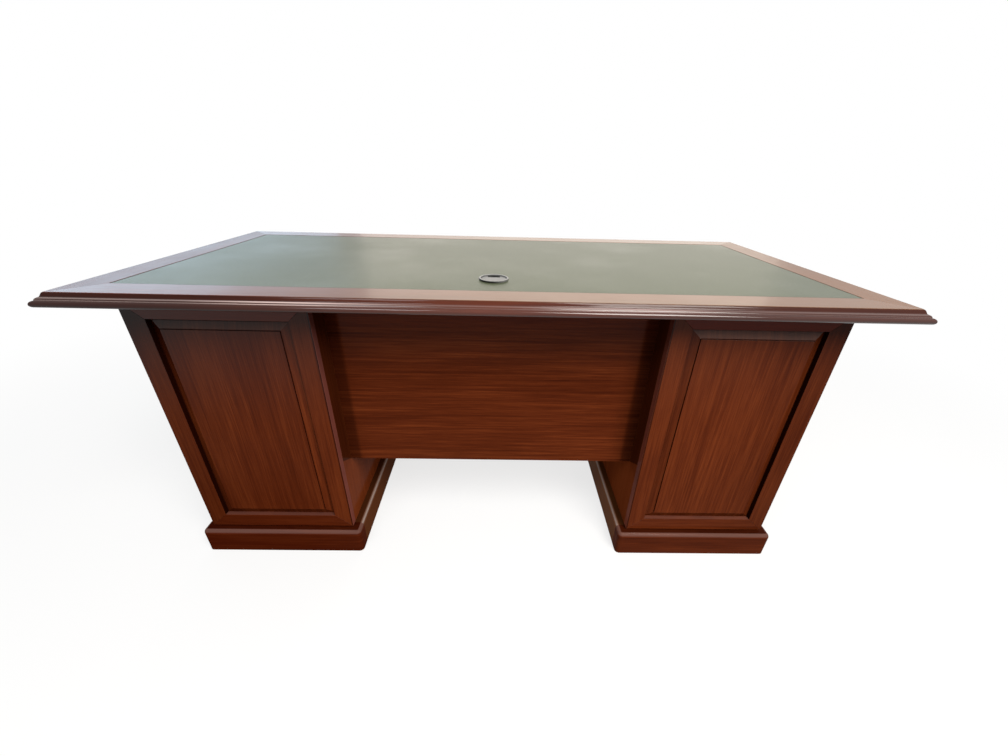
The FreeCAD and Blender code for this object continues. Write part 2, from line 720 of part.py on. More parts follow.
def lock():
    """A flanged case in the front, and a plug with a keyway and a cam behind the case."""
    case_length = f"{user_face} - {lock_back}"
    barrel = rod("lock_barrel", "y", "lock_barrel_radius", case_length, "0", lock_back, lock_z)
    flange = rod("lock_flange", "y", "lock_flange_radius", "lock_flange_thick", "0", user_face, lock_z)
    bore = rod("lock_bore", "y", "plug_radius + pin_clear",
               f"{case_length} + lock_flange_thick + 2 * overrun", "0", f"{lock_back} - overrun", lock_z)
    keep(cut("lock_case", join("lock_blank", barrel, flange), bore))
    plug_front = f"({user_face} + lock_flange_thick + plug_proud)"
    cam_back = f"({lock_back} - cam_thick)"
    plug = rod("plug", "y", "plug_radius", f"{plug_front} - {cam_back}", "0", cam_back, lock_z)
    cam = slab("cam", ("-cam_length", "0"), (cam_back, lock_back),
               (f"{lock_z} - cam_width / 2", f"{lock_z} + cam_width / 2"))
    keyway = slab("keyway", ("-keyway_width / 2", "keyway_width / 2"),
                  (f"{plug_front} - keyway_depth", f"{plug_front} + overrun"),
                  (f"{lock_z} - keyway_height / 2", f"{lock_z} + keyway_height / 2"))
    keep(cut("lock_plug", join("plug_blank", plug, cam), keyway))


lock()


# The cupboard in the right pedestal: a door on pivots at its top and bottom corner, and a shelf on pins.
def cupboard():
    """The pivots stand on the plinth and hang from the top, with a boss that carries the door."""
    door_back = f"({carcass_back} + door_gap)"
    pivot_x = f"({outer_face} - pivot_inset)"
    pivot_y = f"({door_back} + pivot_inset)"
    plate_x = (f"{pivot_x} - pivot_plate_size / 2", f"{pivot_x} + pivot_plate_size / 2")
    plate_y = (f"{pivot_y} - pivot_plate_size / 2", f"{pivot_y} + pivot_plate_size / 2")

    def upright(name, radius, z):
        return rod(name, "z", radius, f"({z[1]}) - ({z[0]})", pivot_x, pivot_y, z[0])

    foot_tip = f"({fronts_bottom} + pivot_length)"
    head_tip = f"({fronts_top} - pivot_length)"
    foot = join("foot_pivot",
                slab("foot_plate", plate_x, plate_y, ("plinth_height", "plinth_height + pivot_plate_thick")),
                upright("foot_boss", "pivot_boss_radius", ("plinth_height", fronts_bottom)),
                upright("foot_pin", "pivot_radius", ("plinth_height", foot_tip)))
    head = join("head_pivot",
                slab("head_plate", plate_x, plate_y, (f"{top_under} - pivot_plate_thick", top_under)),
                upright("head_boss", "pivot_boss_radius", (fronts_top, top_under)),
                upright("head_pin", "pivot_radius", (head_tip, top_under)))
    keep(group("pivot_plates", foot, head))
    drill_radius = "pivot_radius + pin_clear"
    drills = [
        upright("foot_drill", drill_radius, (f"{fronts_bottom} - overrun", f"{foot_tip} + pin_clear")),
        upright("head_drill", drill_radius, (f"{head_tip} - pin_clear", f"{fronts_top} + overrun")),
    ]
    panel = fielded_front("door_panel", (inner_face, outer_face), door_back, (fronts_bottom, fronts_top))
    keep(cut("cupboard_door", panel, *drills))
    pull_middle = f"({inner_face} + door_pull_inset)"
    pull_height = f"({fronts_top} - door_pull_drop)"
    pull_posts("door_posts", pull_middle, pull_height)
    bail("door_bail", pull_middle, pull_height)
    keep(slab("cupboard_shelf", (f"{inner_inside} + shelf_clear", f"{outer_inside} - shelf_clear"),
              (f"{frame_back} + shelf_setback", f"{carcass_back} - shelf_setback"),
              ("shelf_height", "shelf_height + board_thick")))


cupboard()
doc.recompute()

# Every object has to be sound before anything is written.
for thing in doc.Objects:
    faults = {"Invalid", "Error"} & set(thing.State)
    if faults:
        raise RuntimeError(f"{thing.Label}: {thing.State}")
for node in nodes:
    if node.Shape.isNull() or not node.Shape.isValid():
        raise RuntimeError(f"{node.Label}: no valid shape")

os.makedirs("parts", exist_ok=True)
for node in nodes:
    node.Shape.exportStep(f"parts/{node.Label}.step")
print(len(nodes), "sub-parts,", sum(len(node.Shape.Solids) for node in nodes), "solids")
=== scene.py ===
import math

import bpy
import numpy as np
from mathutils import Matrix, Vector


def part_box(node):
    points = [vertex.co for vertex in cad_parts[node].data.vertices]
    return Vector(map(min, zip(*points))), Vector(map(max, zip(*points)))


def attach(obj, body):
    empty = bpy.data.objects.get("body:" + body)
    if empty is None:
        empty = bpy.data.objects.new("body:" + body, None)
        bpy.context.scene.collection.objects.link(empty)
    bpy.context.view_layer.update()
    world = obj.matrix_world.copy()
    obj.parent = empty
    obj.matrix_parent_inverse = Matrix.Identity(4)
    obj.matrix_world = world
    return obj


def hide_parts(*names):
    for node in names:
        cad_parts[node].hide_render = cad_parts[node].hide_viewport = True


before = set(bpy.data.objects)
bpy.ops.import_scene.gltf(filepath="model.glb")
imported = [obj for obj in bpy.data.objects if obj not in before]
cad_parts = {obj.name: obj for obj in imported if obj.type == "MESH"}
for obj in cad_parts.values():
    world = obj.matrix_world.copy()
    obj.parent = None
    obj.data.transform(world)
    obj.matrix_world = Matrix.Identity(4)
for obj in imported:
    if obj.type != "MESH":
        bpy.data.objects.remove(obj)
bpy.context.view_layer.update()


# Plinths: four butted mahogany boards under each pedestal, with rounded top edges and corners.
# They are lacquered to a dull red-brown, and the front and back boards cover the ends of the side boards.
# Shade is painted on their flat tops and to the left, red shade low down on the left, and highlights on the
# rounded edges and the side boards' crests.
class Shade:
    """A socket in a material's nodes. Operators on values add Math nodes, and node() adds any other kind."""

    def __init__(self, tree, socket=None):
        self.tree = tree
        self.socket = socket

    def fill(self, made, inputs):
        """Link or set the sockets of a node."""
        for name, value in inputs.items():
            if isinstance(value, Shade):
                self.tree.links.new(value.socket, made.inputs[name])
            else:
                made.inputs[name].default_value = value

    def node(self, kind, inputs, output=0, stops=(), **settings):
        """Add a node: first its settings and a ramp's stops, then its sockets. Gives back one output."""
        made = self.tree.nodes.new("ShaderNode" + kind)
        for name, value in settings.items():
            setattr(made, name, value)
        for number, (position, colour) in enumerate(stops):
            points = made.color_ramp.elements
            point = points[number] if number < len(points) else points.new(position)
            point.position = position
            point.color = (*colour, 1)
        self.fill(made, inputs)
        return Shade(self.tree, made.outputs[output])

    def math(self, operation, *terms):
        return self.node("Math", dict(enumerate(terms)), operation=operation)

    def __add__(self, other):
        return self.math("ADD", self, other)

    def __sub__(self, other):
        return self.math("SUBTRACT", self, other)

    def __rsub__(self, other):
        return self.math("SUBTRACT", other, self)

    def __mul__(self, other):
        return self.math("MULTIPLY", self, other)

    def __gt__(self, other):
        return self.math("GREATER_THAN", self, other)

    def __lt__(self, other):
        return self.math("LESS_THAN", self, other)

    def __abs__(self):
        return self.math("ABSOLUTE", self)

    __radd__ = __add__
    __rmul__ = __mul__

    def larger(self, other):
        """The larger of two values."""
        return self.math("MAXIMUM", self, other)

    def noise(self, scale, detail=2, roughness=0.5):
        """Smooth noise from 0 to 1 over this vector."""
        inputs = {"Vector": self, "Scale": scale, "Detail": detail, "Roughness": roughness}
        return self.node("TexNoise", inputs)

    def rise(self, start, end):
        """0 below a start, 1 above an end, and smooth between."""
        limits = {"Value": self, "From Min": start, "From Max": end}
        return self.node("MapRange", limits, interpolation_type="SMOOTHSTEP")

    def band(self, start, full, fading, end):
        """0 below a start, 1 from full to fading, 0 above an end, and smooth between."""
        return self.rise(start, full) * (1 - self.rise(fading, end))

    def blend(self, first, second):
        """A second colour over a first, by this share."""
        return self.node("Mix", {0: self, 6: first, 7: second}, 2, data_type="RGBA")


def new_material(name):
    """A material with its Principled shader, and the Object coordinates of what wears it."""
    material = bpy.data.materials.new(name)
    material.use_nodes = True
    shader = material.node_tree.nodes["Principled BSDF"]
    return material, shader, Shade(material.node_tree).node("TexCoord", {}, "Object")


quarter_turn = math.pi / 2
grain_turns = {"x": (0, 0, 0), "y": (0, 0, -quarter_turn), "z": (0, quarter_turn, 0)}
face_press = 0.12


def along_grain(coords, grain, face, plank):
    """Coordinates turned so that their X runs with the grain, shifted to a plank of their own.
    They are pressed along the axis that the board faces, so that its figure goes on over its bevels."""
    pressed = [face_press if axis == face else 1 for axis in "xyz"]
    placed = {"Vector": coords, "Scale": pressed, "Rotation": grain_turns[grain], "Location": (plank,) * 3}
    return coords.node("Mapping", placed)


def mahogany(shader, plank, gloss, tint, layers=(), polish=None, figure=1):
    """Lacquered mahogany over coordinates whose X runs with the grain. Growth rings are the level lines of a
    long smooth noise, streaks and pores are noises drawn out along X, and a colour ramp runs over their sum.
    The tint moves the whole board along the ramp, and the figure is the strength of its streaks. Each layer
    lays a colour over a share of the surface. The polish is the share of a clear coat, and the gloss sets it
    where none is given."""
    board = plank.node("Mapping", {"Vector": plank, "Scale": (0.16, 1, 1)})
    fibre = plank.node("Mapping", {"Vector": plank, "Scale": (0.022, 1, 1)})
    broad = board.noise(5, 2)
    streak = fibre.noise(150, 4, 0.6)
    fine = fibre.noise(460, 3, 0.6)
    wave = broad * 46 + streak * 3
    rings = wave.math("SINE", wave)
    pores = fibre.noise(1300, 1).rise(0.6, 0.74)
    streaks = (streak - 0.5) * (0.30 * figure) + (fine - 0.5) * (0.26 * figure)
    tone = streaks + broad * 0.34 + rings * 0.03 + (tint - 0.17)
    colour = tone.node("ValToRGB", {"Fac": tone}, stops=[
        (0.25, (0.045, 0.0070, 0.0018)),
        (0.50, (0.100, 0.0180, 0.0046)),
        (0.75, (0.185, 0.0390, 0.0100)),
    ])
    colour = (pores * 0.3).blend(colour, (0.030, 0.0045, 0.0012, 1))
    for share, layer in layers:
        colour = share.blend(colour, layer)
    smudge = plank.noise(9, 3, 0.6)
    roughness = 0.38 - 0.22 * gloss + smudge * 0.1 + streak * 0.06 + pores * 0.08
    height = streak * 0.35 + fine * 0.2 - pores * 0.5
    normal = height.node("Bump", {"Height": height, "Strength": 0.2 - 0.16 * gloss, "Distance": 0.0003})
    coat = 0.7 * gloss ** 2 if polish is None else polish
    plank.fill(shader, {"Base Color": colour, "Roughness": roughness, "Normal": normal, "Coat Weight": coat})
    shader.inputs["Specular IOR Level"].default_value = 0.5 * gloss
    shader.inputs["Coat Roughness"].default_value = 0.12


def part_of(vector, axis):
    """One part of a vector: along X, Y or Z."""
    return vector.node("SeparateXYZ", {"Vector": vector}, axis)


def facing(coords, axis):
    """How far the surface faces along an axis, from -1 to 1."""
    return part_of(coords.node("NewGeometry", {}, "Normal"), axis)


def dress(material, *names):
    """Give a material to nodes of the frame."""
    for name in names:
        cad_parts[name].material_slots[0].material = material


matt = 0
sheen = 0.05


def low_left(coords):
    """How low down and how far to the left the surface lies, where a red shade is painted most strongly."""
    left = 1 - part_of(coords, "X").rise(-0.6, 0)
    low = 1 - part_of(coords, "Z").rise(0.1, 0.45)
    return left * low


def thin_polish(coords):
    """The share of a thin clear coat, which is worn away low down on the left."""
    return (1 - low_left(coords)) * sheen


# Colours laid over the wood: painted shade, red painted shade, a golden tone and a pale painted sheen.
painted_shade = (0.008, 0.0008, 0.0004, 1)
red_painted_shade = (0.045, 0.0010, 0.0001, 1)
golden_wood = (0.22, 0.085, 0.025, 1)
painted_sheen = (0.42, 0.36, 0.33, 1)
plinth_board = 0.036
plinth_wood, shader, coords = new_material("plinth_mahogany")
plinth_low, plinth_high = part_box("left_plinth")
depth = part_of(coords, "Y")
side_board = (depth > plinth_low.y + plinth_board) * (depth < plinth_high.y - plinth_board)
front_plank = along_grain(coords, grain="x", face="y", plank=1.3)
side_plank = along_grain(coords, grain="y", face="x", plank=2.1)
plinth_plank = coords.node("Mix", {0: side_board, 4: front_plank, 5: side_plank}, 1, data_type="VECTOR")
upward = facing(coords, "Z")
level = upward.rise(0.93, 0.99)
rounded_edge = upward.rise(0.15, 0.6) * (1 - level)
side_crest = side_board * upward.band(0.5, 0.65, 0.8, 0.92)
to_left = 1 - part_of(coords, "X").rise(-0.5, 0.5)
# Painted shade to the left and on the flat tops, red painted shade low on the left, and painted highlights on
# the rounded edges and the side boards' crests. The side boards are golden.
plinth_layers = [
    (side_board * 0.5, golden_wood),
    (to_left * 0.15, painted_shade),
    (low_left(coords) * 0.4, red_painted_shade),
    (level * 0.6, painted_shade),
    (rounded_edge * 0.12, painted_sheen),
    (side_crest * 0.45, painted_sheen),
]
mahogany(shader, plinth_plank, matt, 0.45, plinth_layers, thin_polish(coords), figure=1.5)
dress(plinth_wood, "left_plinth", "right_plinth")


# Pedestal boards: veneered sides, bottom and top, glued and screwed into a box.
# The veneer's grain stands upright on the sides and runs across the bottom and top. A shadow is painted on
# the kneehole's sides in front of the modesty panel, above a line that rises from its lower edge.
def soften(width, *names):
    """Round the arrises of solid boards a little, as sanding and lacquer leave them."""
    for name in names:
        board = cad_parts[name]
        weld = board.modifiers.new("weld", "WELD")
        weld.merge_threshold = 1e-5
        plane = board.modifiers.new("plane", "DECIMATE")
        plane.decimate_type = "DISSOLVE"
        plane.angle_limit = math.radians(0.5)
        arris = board.modifiers.new("arris", "BEVEL")
        arris.width = width
        arris.segments = 3
        arris.limit_method = "ANGLE"
        arris.angle_limit = math.radians(25)
        arris.harden_normals = True


satin = 0.05


def board_material(name, grain, face, plank):
    """Mahogany for boards whose grain runs along one axis and which face along another."""
    material, shader, coords = new_material(name)
    mahogany(shader, along_grain(coords, grain, face, plank), satin, tint=0.5)
    return material


board_arris = 0.0006
recess_slope = 0.6
side_wood, shader, coords = new_material("side_mahogany")
recess_low, recess_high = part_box("modesty_panel")
across = part_of(coords, "X")
ahead = recess_low.y - part_of(coords, "Y")
above = part_of(coords, "Z") - (recess_low.z + ahead * recess_slope)
kneehole_face = abs(across) < recess_high.x + 0.004
# A shadow painted on the kneehole's faces in front of the modesty panel, above a line rising towards the
# visitor.
recess = ahead.rise(-0.001, 0.001) * above.rise(-0.002, 0.002) * kneehole_face
side_plank = along_grain(coords, grain="z", face="x", plank=3.7)
side_polish = (1 - across.rise(-0.1, 0.1)) * sheen
mahogany(shader, side_plank, matt, 0.65, [(recess * 0.65, painted_shade)], side_polish)
shelf_wood = board_material("shelf_mahogany", grain="x", face="z", plank=5.2)
for hand in ("left", "right"):
    dress(side_wood, f"{hand}_outer_side", f"{hand}_inner_side")
    dress(shelf_wood, f"{hand}_bottom", f"{hand}_top")
    soften(board_arris, f"{hand}_outer_side", f"{hand}_inner_side")


# Frames on the visitor's side: solid mahogany rails and stiles, mitred and glued at the corners.
# Their eased edges leave a fine line along each mitre. Shade is painted on them under the overhang, to the
# left, towards the outer edges, on downward faces, in the reveals and along the kneehole arris, with red
# shade low on the left. A warm red light is painted up under the overhang, a pale sheen on the ledges and a
# pale light on the kneehole edges.
def visitor_side(coords):
    """1 where the surface doesn't face the sitter."""
    return 1 - facing(coords, "Y").rise(0.2, 0.6)


def under_top(coords):
    """The share of old polish, which grows towards the top and the left, where the overhang keeps it glassy,
    and the share of painted shade, which grows with it and towards each pedestal's outer edge as well."""
    across = part_of(coords, "X")
    old_polish = part_of(coords, "Z").rise(0.4, 0.74) * (0.36 - across * 0.3) * visitor_side(coords)
    return old_polish, old_polish + abs(across).rise(0.55, 0.85) * 0.4


def up_under_overhang(coords):
    """How far the surface lies up under the overhang, where a warm red light is painted into the wood."""
    return part_of(coords, "Z").rise(0.6, 0.72) * visitor_side(coords)


# A warm red light painted up under the overhang.
painted_red_light = (0.25, 0.020, 0.008, 1)
# A pale light painted on the stiles' kneehole edges.
painted_edge_light = (0.40, 0.15, 0.14, 1)
frame_arris = 0.0013
stile_width = 0.0455
frame_low, frame_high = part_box("right_frame_stiles")
sight_low = frame_low.x + stile_width
sight_high = frame_high.x - stile_width
rail_wood, shader, coords = new_material("rail_mahogany")
upward = facing(coords, "Z")
ledge = upward.rise(0.3, 0.8)
overhead = 1 - upward.rise(-0.8, -0.4)
old_polish, overhang_shade = under_top(coords)
# Red painted shade low on the left, red painted light under the overhang, painted shade under the overhang
# and on downward faces, and a painted sheen on the ledges.
rail_layers = [
    (low_left(coords) * 0.3, red_painted_shade),
    (up_under_overhang(coords) * 0.42, painted_red_light),
    (overhang_shade * 0.5, painted_shade),
    (overhead * 0.8, painted_shade),
    (ledge * 0.06, painted_sheen),
]
rail_plank = along_grain(coords, grain="x", face="y", plank=7.9)
rail_polish = old_polish * 0.8 + thin_polish(coords)
mahogany(shader, rail_plank, matt, 0.49, rail_layers, rail_polish, figure=1.5)

stile_wood, shader, coords = new_material("stile_mahogany")
across = part_of(coords, "X")
from_middle = abs(across)
sideways = abs(facing(coords, "X")).rise(0.5, 0.8)
in_sight = (from_middle > sight_low - frame_arris) * (from_middle < sight_high + frame_arris)
reveal = sideways * in_sight
from_edge = from_middle - frame_low.x
kneehole_edge = sideways * (from_edge < 0.002)
edge_line = (1 - sideways) * (1 - from_edge.rise(0.002, 0.005))
old_polish, overhang_shade = under_top(coords)
# Red painted shade low on the left, painted shade under the overhang, in the reveals and along the kneehole
# arris, and painted light on the kneehole edges.
stile_layers = [
    (low_left(coords) * 0.12, red_painted_shade),
    (overhang_shade, painted_shade),
    (reveal * 0.9, painted_shade),
    (edge_line * 0.75, painted_shade),
    (kneehole_edge * (0.2 - across * 0.12), painted_edge_light),
]
stile_plank = along_grain(coords, grain="z", face="y", plank=9.4)
stile_polish = old_polish * 0.6 + thin_polish(coords)
mahogany(shader, stile_plank, matt, 0.56, stile_layers, stile_polish, figure=1.5)

for hand in ("left", "right"):
    dress(rail_wood, f"{hand}_frame_rails")
    dress(stile_wood, f"{hand}_frame_stiles")
    soften(frame_arris, f"{hand}_frame_rails", f"{hand}_frame_stiles")

# Raised panels: solid mahogany with upright grain, a wide bevel round the edge and a quirk round the field.
# They lie loose in the frame's groove, so that they can swell and shrink. Shade is painted in the quirk and
# along the frame, under the overhang, to the left and towards the outer edges, with red shade low on the
# left.
# A pale sheen is painted on the top bevel, more on the right.
panel_arris = 0.0005
hollow = 0.005
panel_wood, shader, coords = new_material("panel_mahogany")
across = part_of(coords, "X")
from_middle = abs(across)
quirk = 1 - abs(facing(coords, "Y")).rise(0.3, 0.7)
by_inner_stile = 1 - (from_middle - sight_low).rise(0, hollow)
by_outer_stile = (from_middle - (sight_high - hollow)).rise(0, hollow)
dark_line = quirk.larger(by_inner_stile + by_outer_stile)
top_bevel = facing(coords, "Z").rise(0.1, 0.25) * (1 - quirk)
old_polish, overhang_shade = under_top(coords)
# Red painted shade low on the left, painted shade under the overhang, in the quirk and along the stiles, and
# a painted sheen on the top bevel.
panel_layers = [
    (low_left(coords) * 0.1, red_painted_shade),
    (overhang_shade, painted_shade),
    (dark_line * 0.8, painted_shade),
    (top_bevel * (0.05 + across.rise(0, 0.5) * 0.1), painted_sheen),
]
panel_plank = along_grain(coords, grain="z", face="y", plank=11.6)
panel_polish = old_polish * 0.6 + thin_polish(coords)
mahogany(shader, panel_plank, matt, 0.53, panel_layers, panel_polish, figure=1.6)
dress(panel_wood, "left_raised_panel", "right_raised_panel")
soften(panel_arris, "left_raised_panel", "right_raised_panel")

# Modesty panel: one veneered board set back between the pedestals, its grain lying level.
# Two plain battens behind it carry it on the pedestals. Shadow is painted along the pedestals, and a warm red
# light up under the overhang.
modesty_wood, shader, coords = new_material("modesty_mahogany")
from_pedestal = recess_high.x - abs(part_of(coords, "X"))
by_pedestal = 1 - from_pedestal.rise(0.022, 0.035)
# A red light painted under the overhang and a shadow painted beside each pedestal.
modesty_layers = [(up_under_overhang(coords) * 0.2, painted_red_light), (by_pedestal * 0.5, painted_shade)]
modesty_plank = along_grain(coords, grain="x", face="y", plank=14.2)
modesty_polish = part_of(coords, "Z").rise(0.5, 0.7) * visitor_side(coords) * 0.1
mahogany(shader, modesty_plank, satin, 0.51, modesty_layers, modesty_polish, figure=2.1)
dress(modesty_wood, "modesty_panel")
soften(board_arris, "modesty_panel")
dress(side_wood, "modesty_cleats")

# Top board: a thick core board under the border and the leather, veneered on its underside.
# It is screwed up through the pedestals' tops with plated steel screws.
dress(shelf_wood, "top_board")
steel, shader, coords = new_material("plated_steel")
spangle = coords.noise(260, 3, 0.6)
brushed = coords.node("Mapping", {"Vector": coords, "Scale": (1, 0.03, 1)}).noise(900, 2)
steel_colour = (spangle * 0.5 + brushed * 0.5).blend((0.46, 0.47, 0.48, 1), (0.68, 0.69, 0.70, 1))
coords.fill(shader, {
    "Base Color": steel_colour,
    "Roughness": 0.26 + brushed * 0.16,
    "Normal": brushed.node("Bump", {"Height": brushed, "Strength": 0.1, "Distance": 0.0002}),
})
shader.inputs["Metallic"].default_value = 1
dress(steel, "top_screws")


# Edge mouldings: solid mahogany lengths round the top, mitred at the corners, with a rebate for the border.
# Each has a steep shoulder, a rounded step and a fillet over a bullnose. Highlights are painted pale on the
# step and the fillet, strongest in two places, and shade is painted towards both ends, most on the left. The
# polish is dull on the shoulder and on the short lengths.
def rounded(corners, radius, steps=4):
    """A path through corners with each inner corner cut to a curve: the quadratic curve from a point one
    radius before the corner to a point one radius after it, drawn towards the corner. Short sides make it
    smaller."""
    corners = np.array(corners, float)
    inner = corners[1:-1]
    before = corners[:-2] - inner
    after = corners[2:] - inner
    before_length = np.linalg.norm(before, axis=1, keepdims=True)
    after_length = np.linalg.norm(after, axis=1, keepdims=True)
    reach = np.minimum(radius, 0.49 * np.minimum(before_length, after_length))
    start = inner + before * reach / before_length
    end = inner + after * reach / after_length
    t = np.linspace(0, 1, steps + 1)[None, :, None]
    curves = (1 - t) ** 2 * start[:, None] + 2 * t * (1 - t) * inner[:, None] + t ** 2 * end[:, None]
    return np.vstack([corners[:1], curves.reshape(-1, corners.shape[1]), corners[-1:]])


def skin(rings):
    """Faces over a stack of closed rings: a quad between each pair of neighbours, and a cap on each end ring.
    They face outwards, which the sign of the enclosed volume tells."""
    count, around = rings.shape[:2]
    index = np.arange(count * around).reshape(count, around)
    ahead = np.roll(index, -1, axis=1)
    quads = np.stack([index[:-1], ahead[:-1], ahead[1:], index[1:]], axis=-1).reshape(-1, 4)
    points = rings.reshape(-1, 3) - rings.reshape(-1, 3).mean(axis=0)
    a, b, c, d = (points[quads[:, corner]] for corner in range(4))
    volume = (np.cross(b - a, c - a) * a).sum() + (np.cross(c - a, d - a) * a).sum()
    faces = [*quads.tolist(), index[0, ::-1].tolist(), index[-1].tolist()]
    return faces if volume > 0 else [face[::-1] for face in faces]


def make_piece(name, stacks, material, slot, body, *nodes):
    """A mesh piece from one or more stacks of rings, which rides on a body and may stand for nodes."""
    points = []
    faces = []
    for rings in stacks:
        faces += [[corner + len(points) for corner in face] for face in skin(rings)]
        points += rings.reshape(-1, 3).tolist()
    mesh = bpy.data.meshes.new(name)
    mesh.from_pydata(points, [], faces)
    mesh.shade_smooth()
    mesh.set_sharp_from_angle(angle=math.radians(40))
    mesh.materials.append(material)
    piece = bpy.data.objects.new(name, mesh)
    bpy.context.scene.collection.objects.link(piece)
    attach(piece, body)
    if nodes:
        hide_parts(*nodes)


edge_projection = 0.0185
edge_height = 0.027
moulding_land = 0.012
border_thick = 0.004
step_round = 0.0015
shoulder_shares = [(0, 0.03), (0.06, 0.035), (0.14, 0.115), (0.21, 0.22)]
step_shares = [(0.27, 0.30), (0.45, 0.345), (0.56, 0.395), (0.62, 0.46), (0.635, 0.52)]
steps = np.array(shoulder_shares + step_shares) * (edge_projection, edge_height)
nose = (edge_height - steps[-1, 1]) / 2
sweep = np.linspace(0, math.pi, 25)
nose_arc = np.column_stack([np.sin(sweep), -np.cos(sweep)]) * nose
nose_arc += (edge_projection - nose, edge_height - nose)
stair = rounded([(0, border_thick), *steps, nose_arc[0]], step_round)
outline = np.vstack([(-moulding_land, border_thick), stair[:-1], nose_arc, (-moulding_land, edge_height)])
top_half = np.array(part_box("edge_moulding_long")[1].xy)
top_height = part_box("border_long")[1].z


def moulding_length(half_run, half_reach, quarter):
    """One length, from mitre to mitre: a point (out, down) of the outline runs along the edge from
    x = -(half_run + out) to x = half_run + out at y = -(half_reach + out), then turns by quarters about Z."""
    out, down = outline.T
    ends = []
    for side in (-1, 1):
        ends.append(np.column_stack([side * (half_run + out), -(half_reach + out), top_height - down]))
    return np.array(ends) @ np.array(Matrix.Rotation(-quarter * quarter_turn, 3, "Z"))


# A pale painted highlight for the moulding's step and fillet, strongest in two spots.
painted_highlight = (0.62, 0.48, 0.45, 1)
between_highlights = -0.06
highlight_reach = 0.31
flat_half = top_half - edge_projection
moulding_pairs = {"long": (flat_half[0], flat_half[1], 0), "short": (flat_half[1], flat_half[0], 1)}
for pair, (half_run, half_reach, quarter) in moulding_pairs.items():
    lengths = [moulding_length(half_run, half_reach, quarter + opposite) for opposite in (0, 2)]
    moulding_wood, shader, coords = new_material(f"moulding_mahogany_{pair}")
    moulding_plank = along_grain(coords, grain="xy"[quarter], face="yx"[quarter], plank=17.3 + quarter)
    down = top_height - part_of(coords, "Z")
    step_line = down.band(0.0083, 0.0089, 0.0098, 0.0106)
    fillet_line = down.band(0.0118, 0.0124, 0.0134, 0.0142)
    across = part_of(coords, "X")
    to_left = 1 - across.rise(-0.7, 0)
    # Painted shade towards both ends, most on the left, and painted highlights on the step and the fillet.
    shaded_ends = to_left * 0.8 + across.rise(0, 0.5) * 0.62
    highlight_spots = 1 - abs(abs(across - between_highlights) - highlight_reach).rise(0, 0.25)
    wear_and_highlight = (step_line + fillet_line) * (0.08 + to_left * 0.14 + highlight_spots * (0.35 + to_left * 0.4))
    moulding_layers = [(shaded_ends, painted_shade), (wear_and_highlight, painted_highlight)]
    below_shoulder = down.rise(0.006, 0.009)
    polish = (0.95 - to_left * 0.55) * (0.45 + below_shoulder * 0.55) * (1 - quarter * 0.65)
    mahogany(shader, moulding_plank, satin, 0.4, moulding_layers, polish)
    make_piece(f"moulding_{pair}", lengths, moulding_wood, "mahogany", "carcass", f"edge_moulding_{pair}")

# Border: mitred mahogany strips round the leather, flush with it and polished to a high gloss.
# The grain follows each strip, and a tan is painted over it towards the right for warm reflected light.
border_arris = 0.0004
# A tan painted over the border towards the right, standing in for warm reflected light.
painted_warm_reflection = (0.26, 0.145, 0.060, 1)
for pair, grain, plank, gloss in (("long", "x", 20.8, 0.58), ("short", "y", 23.5, 0.45)):
    border_wood, shader, coords = new_material(f"border_mahogany_{pair}")
    border_plank = along_grain(coords, grain, "z", plank)
    warm_reflection_share = part_of(coords, "X").rise(-0.6, 0.15)
    mahogany(shader, border_plank, gloss, 0.45, [(warm_reflection_share * 0.42, painted_warm_reflection)])
    dress(border_wood, f"border_{pair}")
    soften(border_arris, f"border_{pair}")

# Leather inlay: a thin dark olive-green hide glued into the border, with a fine pebbled grain.
# Its finish is a dull gloss, rubbed a little smoother where arms lie. Shade is painted along its edges, most
# on the left.
dark_hide = (0.085, 0.098, 0.050, 1)
pale_hide = (0.135, 0.152, 0.084, 1)
between_pebbles = (0.014, 0.018, 0.008, 1)
# A dark grey for painted shade on the leather's edges and on the grommet.
painted_grey_shade = (0.006, 0.006, 0.005, 1)
pebble_wander = 0.0011
leather_coat = 0.15
leather, shader, coords = new_material("olive_leather")
warp = coords.node("TexNoise", {"Vector": coords, "Scale": 320, "Detail": 2}, "Color")
wander = coords.node("VectorMath", {0: warp, 1: (pebble_wander,) * 3}, operation="MULTIPLY")
pebble_place = coords.node("VectorMath", {0: coords, 1: wander}, operation="ADD")
pebble = coords.node("TexVoronoi", {"Vector": pebble_place, "Scale": 720}, feature="DISTANCE_TO_EDGE")
crown = pebble.rise(0, 0.45)
mottle = coords.noise(7, 4, 0.6)
speckle = coords.noise(900, 2)
hide = (mottle * 0.7 + speckle * 0.3).blend(dark_hide, pale_hide)
wear_and_highlight = coords.noise(2.4, 3, 0.55).rise(0.42, 0.68)
leather_low, leather_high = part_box("leather_inlay")
along = part_of(coords, "X")
inward = part_of(coords, "Y")
# Painted shade along the leather's edges, strongest on the left.
left_line = 1 - (along - leather_low.x).rise(0.0015, 0.003)
front_line = 1 - (inward - leather_low.y).rise(0.0008, 0.002)
right_line = 1 - (leather_high.x - along).rise(0.0015, 0.003)
back_line = 1 - (leather_high.y - inward).rise(0.002, 0.004)
faint_line = front_line.larger(right_line.larger(back_line)) * 0.4
edge_line = left_line.larger(faint_line)
hide = (edge_line * 0.9).blend(hide, painted_grey_shade)
coords.fill(shader, {
    "Base Color": ((1 - crown) * 0.6).blend(hide, between_pebbles),
    "Roughness": 0.42 - wear_and_highlight * 0.08 + speckle * 0.06,
    "Normal": crown.node("Bump", {"Height": crown, "Strength": 0.35, "Distance": 0.00025}),
    "Coat Weight": leather_coat - edge_line * leather_coat,
})
shader.inputs["Coat Roughness"].default_value = 0.22
shader.inputs["Specular IOR Level"].default_value = 0.25
dress(leather, "leather_inlay")


